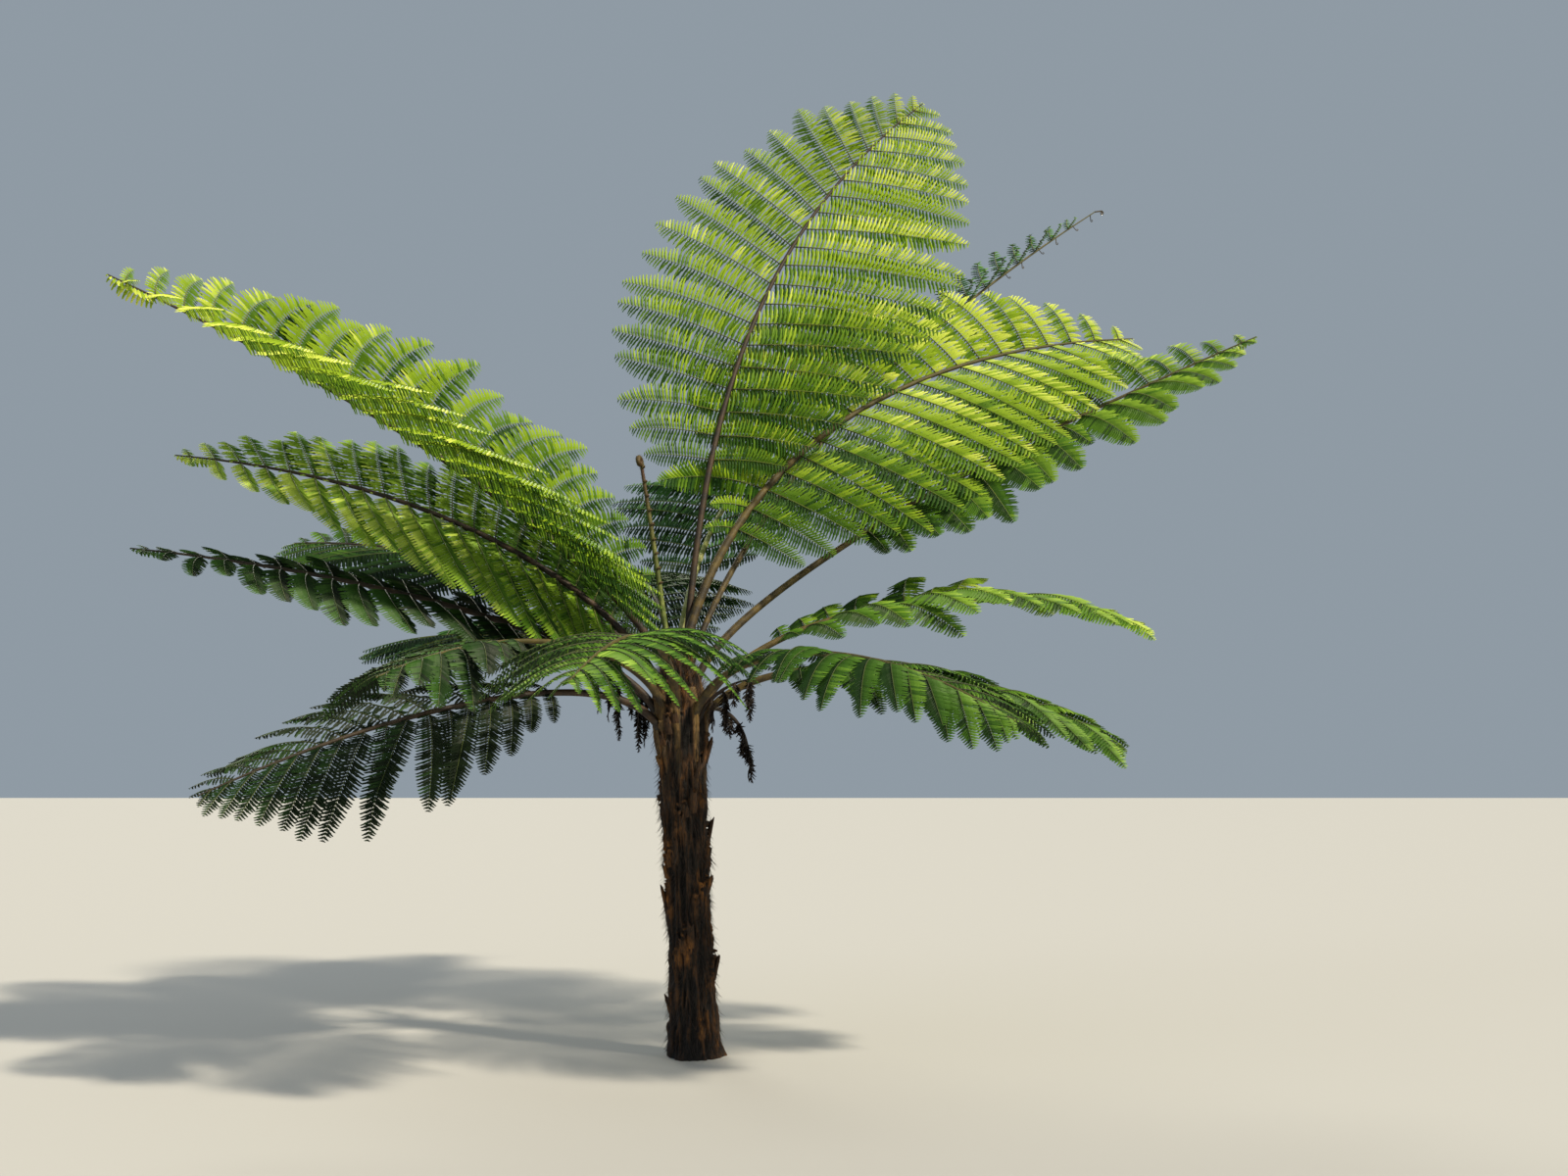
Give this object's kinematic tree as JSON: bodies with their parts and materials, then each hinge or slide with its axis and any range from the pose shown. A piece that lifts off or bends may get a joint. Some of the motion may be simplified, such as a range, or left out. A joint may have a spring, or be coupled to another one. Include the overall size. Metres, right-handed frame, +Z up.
{
  "type": "tree fern",
  "caption": "Tree fern: a slender fibrous trunk with a vase of stalks and a wide crown of arching, finely cut fronds, rooted in the ground.",
  "frame": {"origin": "middle of the flat cut under the trunk, at ground level", "axes": "+Z up, +X to the right of the viewer, -Y towards the viewer"},
  "size_m": [5.0957, 4.1129, 4.9059],
  "materials": {
    "trunk_bark": "fibrous, matte",
    "leaf_bright": "satin leaf",
    "leaf_green": "satin leaf",
    "leaf_deep": "satin leaf",
    "leaf_pale": "satin leaf",
    "stalk_brown": "scaly, matte",
    "dead_frond": "dry, matte"
  },
  "bodies": {
    "root": {"trunk": "trunk_bark", "frond_upright": "leaf_bright", "frond_arching": "leaf_bright", "frond_high_left": "leaf_bright", "frond_mid_left": "leaf_green", "frond_low_left": "leaf_deep", "frond_drooping_left": "leaf_deep", "frond_back_left": "leaf_green", "frond_left_inner": "leaf_green", "frond_back_right": "leaf_green", "frond_pale_back": "leaf_pale", "frond_rear": "leaf_green", "frond_right_inner": "leaf_green", "frond_right_low": "leaf_green", "frond_front_right": "leaf_deep", "frond_front": "leaf_deep", "frond_front_left": "leaf_deep", "frond_young": "leaf_pale", "crozier": "stalk_brown", "dead_frond_left": "dead_frond", "dead_frond_right": "dead_frond", "dead_frond_hanging": "dead_frond"}
  },
  "joints": []
}
